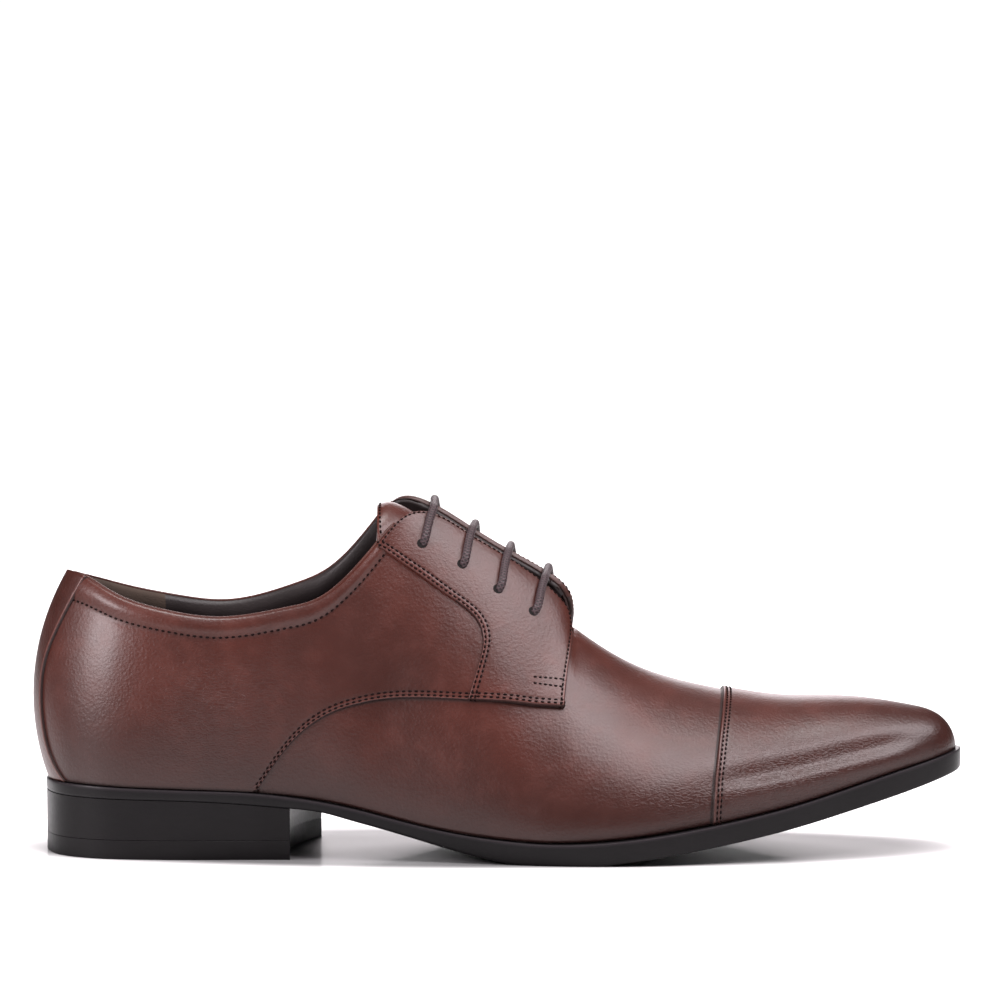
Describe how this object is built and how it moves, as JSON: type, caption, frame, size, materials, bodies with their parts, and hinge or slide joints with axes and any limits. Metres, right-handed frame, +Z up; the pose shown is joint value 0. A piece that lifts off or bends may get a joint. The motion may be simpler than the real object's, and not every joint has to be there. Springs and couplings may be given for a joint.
{
  "type": "derby shoe",
  "caption": "Right-foot cap-toe derby shoe in brown calf leather with open lacing, a thin black sole and a low stacked heel.",
  "frame": {"origin": "centre of the bounding box's bottom face, on the floor below the shoe", "axes": "+X towards the toe, -Y towards the outer side of the foot, +Z up"},
  "size_m": [0.3144, 0.0998, 0.1194],
  "materials": {
    "upper_leather": "polished calf, satin",
    "insole_leather": "smooth, matt",
    "sole_rubber": "smooth, satin edge",
    "lace_cord": "waxed round cord"
  },
  "bodies": {
    "root": {"upper": "upper_leather", "toe_cap": "upper_leather", "back_strip": "upper_leather", "facing_lateral": "upper_leather", "facing_medial": "upper_leather", "tongue": "upper_leather", "insole": "insole_leather", "outsole": "sole_rubber", "heel_block": "sole_rubber", "heel_top_piece": "sole_rubber", "lace_bar_1": "lace_cord", "lace_bar_2": "lace_cord", "lace_bar_3": "lace_cord", "lace_bar_4": "lace_cord"}
  },
  "joints": []
}
